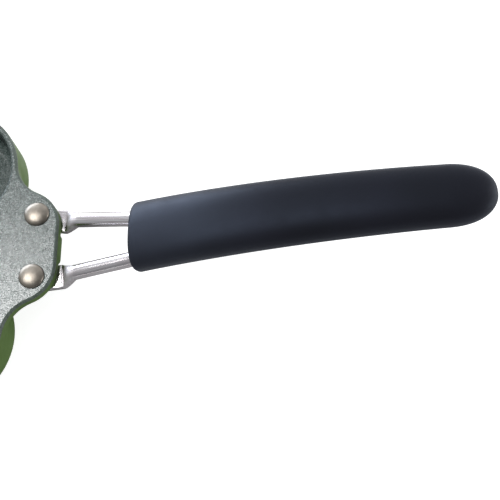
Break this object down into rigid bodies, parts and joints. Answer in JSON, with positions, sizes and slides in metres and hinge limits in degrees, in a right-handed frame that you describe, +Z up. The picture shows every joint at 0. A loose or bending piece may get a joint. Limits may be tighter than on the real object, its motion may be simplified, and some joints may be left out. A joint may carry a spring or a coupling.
{
  "type": "multi-cup pan",
  "caption": "Cast pan with round flat-bottomed cups in one scalloped plate, and a riveted bent-rod handle with a soft oval grip.",
  "frame": {"origin": "centre of the middle cup's flat underside, on the plane that the pan stands on", "axes": "+X out along the handle in the pan's mirror plane, +Z up out of the cups"},
  "size_m": [0.3795, 0.2058, 0.0759],
  "materials": {
    "pan_body": "speckled stone-effect non-stick inside, green enamel outside",
    "handle_rod": "bright plated round bar",
    "rivet": "satin",
    "grip_core": "matte black",
    "grip_sleeve": "soft-touch matte, blue-black"
  },
  "bodies": {
    "root": {"pan_body": "pan_body", "handle_rod": "handle_rod", "rivet_left": "rivet", "rivet_right": "rivet", "grip_core": "grip_core", "grip_sleeve": "grip_sleeve"}
  },
  "joints": []
}
